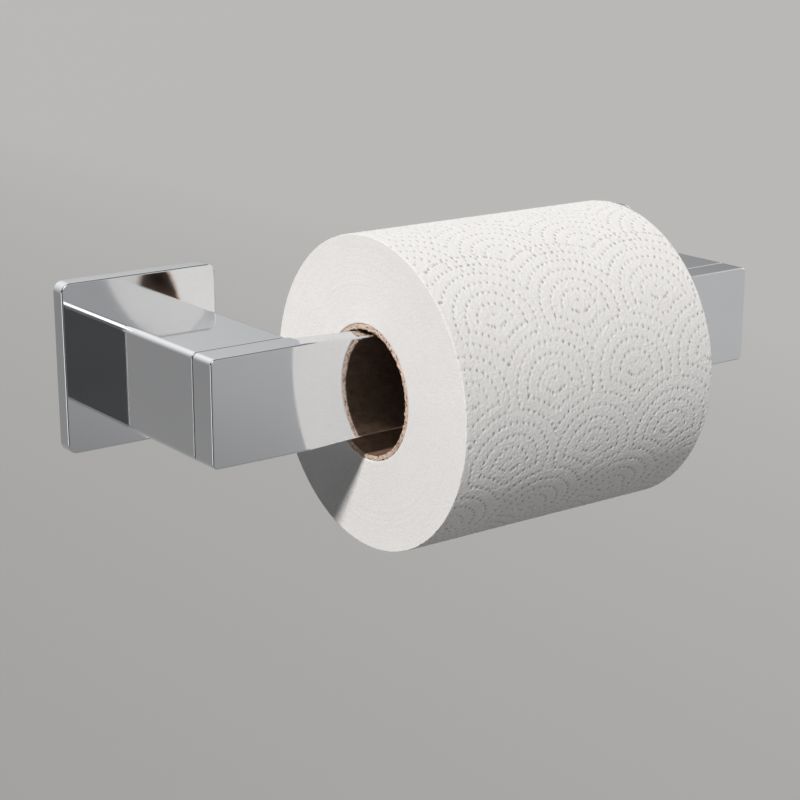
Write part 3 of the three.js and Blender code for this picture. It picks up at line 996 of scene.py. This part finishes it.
def backdrop():
    """A pale round wall far behind the floor, which lights nothing and is mirrored nowhere."""
    n = Nodes("pale backdrop")
    split = n.add("ShaderNodeSeparateXYZ")
    n.link(n.place, split.inputs["Vector"])
    across = n.range(split.outputs["X"], 0.0, 1.0, -BACKDROP_RADIUS, BACKDROP_RADIUS)
    n.link(n.ramp(across, *BACKDROP_TONES), n.shader.inputs["Emission Color"])
    n.set(Base_Color=(0, 0, 0, 1), Roughness=1.0, Specular_IOR_Level=0.0, Emission_Strength=1.0)
    loops = [circle(0, 0, z, BACKDROP_RADIUS, BACKDROP_SIDES) for z in (BACKDROP_LOW, BACKDROP_HIGH)]
    obj = placed("backdrop", *loft(loops, caps=False), n.material)
    obj.visible_shadow = False
    obj.visible_diffuse = False
    obj.visible_glossy = False


def card(name, corners, material):
    """A card that only the polished parts see."""
    middle = (CAD_BOX[0] + CAD_BOX[1]) / 2
    obj = placed(name, [middle + Vector(p) for p in corners], [(0, 1, 2, 3)], material)
    obj.visible_camera = False
    obj.visible_shadow = False
    obj.visible_diffuse = False


def cards():
    """A dark flag and two white cards."""
    flag = Nodes("black flag")
    flag.color(flag.ramp(flag.noise(20, 2), (0.3, grey(0.15)), (0.7, grey(0.17))))
    flag.set(Roughness=1.0, Specular_IOR_Level=0.0)
    card("flag", FLAG_CORNERS, flag.material)
    for name, corners, glow in (("card", CARD_CORNERS, CARD_GLOW), ("softbox", BOX_CORNERS, BOX_GLOW)):
        white = Nodes(f"white {name}")
        white.color(white.ramp(white.noise(20, 2), (0.3, grey(0.85)), (0.7, grey(0.88))))
        white.set(Roughness=1.0, Specular_IOR_Level=0.0, Emission_Color=(1, 1, 1, 1), Emission_Strength=glow)
        card(name, corners, white.material)


def world():
    """The sum of the bright zones; each grows brighter towards its own direction."""
    studio = bpy.data.worlds.new("studio")
    studio.use_nodes = True
    bpy.context.scene.world = studio
    tree = studio.node_tree
    place = tree.nodes.new("ShaderNodeTexCoord")
    total = None
    for direction, stops in (ZONE_BEHIND, ZONE_AT_RIGHT, ZONE_IN_FRONT):
        dot = tree.nodes.new("ShaderNodeVectorMath")
        dot.operation = "DOT_PRODUCT"
        dot.inputs[1].default_value = Vector(direction).normalized()
        tree.links.new(place.outputs["Generated"], dot.inputs[0])
        ramp = tree.nodes.new("ShaderNodeValToRGB")
        tree.links.new(dot.outputs["Value"], ramp.inputs["Fac"])
        set_stops(ramp, stops)
        if total is None:
            total = ramp.outputs["Color"]
            continue
        both = tree.nodes.new("ShaderNodeVectorMath")
        tree.links.new(total, both.inputs[0])
        tree.links.new(ramp.outputs["Color"], both.inputs[1])
        total = both.outputs["Vector"]
    tree.links.new(total, tree.nodes["Background"].inputs["Color"])


def key_light():
    """One soft sun, which the chrome doesn't mirror."""
    light = bpy.data.lights.new("key", "SUN")
    light.energy = KEY_POWER
    light.angle = math.radians(KEY_SOFTNESS)
    light.color = KEY_COLOR
    obj = bpy.data.objects.new("key", light)
    obj.visible_glossy = False
    obj.rotation_euler = (-Vector(KEY_FROM)).to_track_quat("-Z", "Y").to_euler()
    bpy.context.scene.collection.objects.link(obj)


def camera():
    """The camera at the photo's viewing angle."""
    data = bpy.data.cameras.new("camera")
    data.lens = CAMERA_LENS
    data.sensor_width = CAMERA_FILM
    data.clip_end = CAMERA_REACH
    azimuth, elevation = math.radians(CAMERA_AZIMUTH), math.radians(CAMERA_ELEVATION)
    back = Vector((math.sin(azimuth) * math.cos(elevation), -math.cos(azimuth) * math.cos(elevation),
                   math.sin(elevation)))
    obj = bpy.data.objects.new("camera", data)
    obj.location = (CAD_BOX[0] + CAD_BOX[1]) / 2 + CAMERA_AIM + back * CAMERA_DISTANCE
    obj.rotation_euler = (-back).to_track_quat("-Z", "Y").to_euler()
    bpy.context.scene.collection.objects.link(obj)
    bpy.context.scene.camera = obj
    bpy.context.scene.view_settings.view_transform = "Standard"


# The pieces, in the order of their random numbers

for side, hole, depth in (("left", WASHER_SEAT, WASHER_DEEP), ("right", PEG_HOLE, PEG_DEEP)):
    post(side, hole, depth)
    wall_plate(side)
    dress(f"wall_bracket_{side}", ZINC, BRACKET_EDGE)
    dress(f"set_screw_{side}", STEEL)
    dress(f"post_screw_{side}_lower", STEEL, SCREW_EDGE)
    dress(f"post_screw_{side}_upper", STEEL, SCREW_EDGE)
arm()
for node in ("pivot_bush", "pivot_washer", "catch_sleeve"):
    dress(node, NYLON)
for node in ("disc_spring", "pivot_screw", "stop_pin", "catch_peg"):
    dress(node, STEEL)
core_tube()
paper_roll()
floor()
backdrop()
cards()
world()
key_light()
camera()
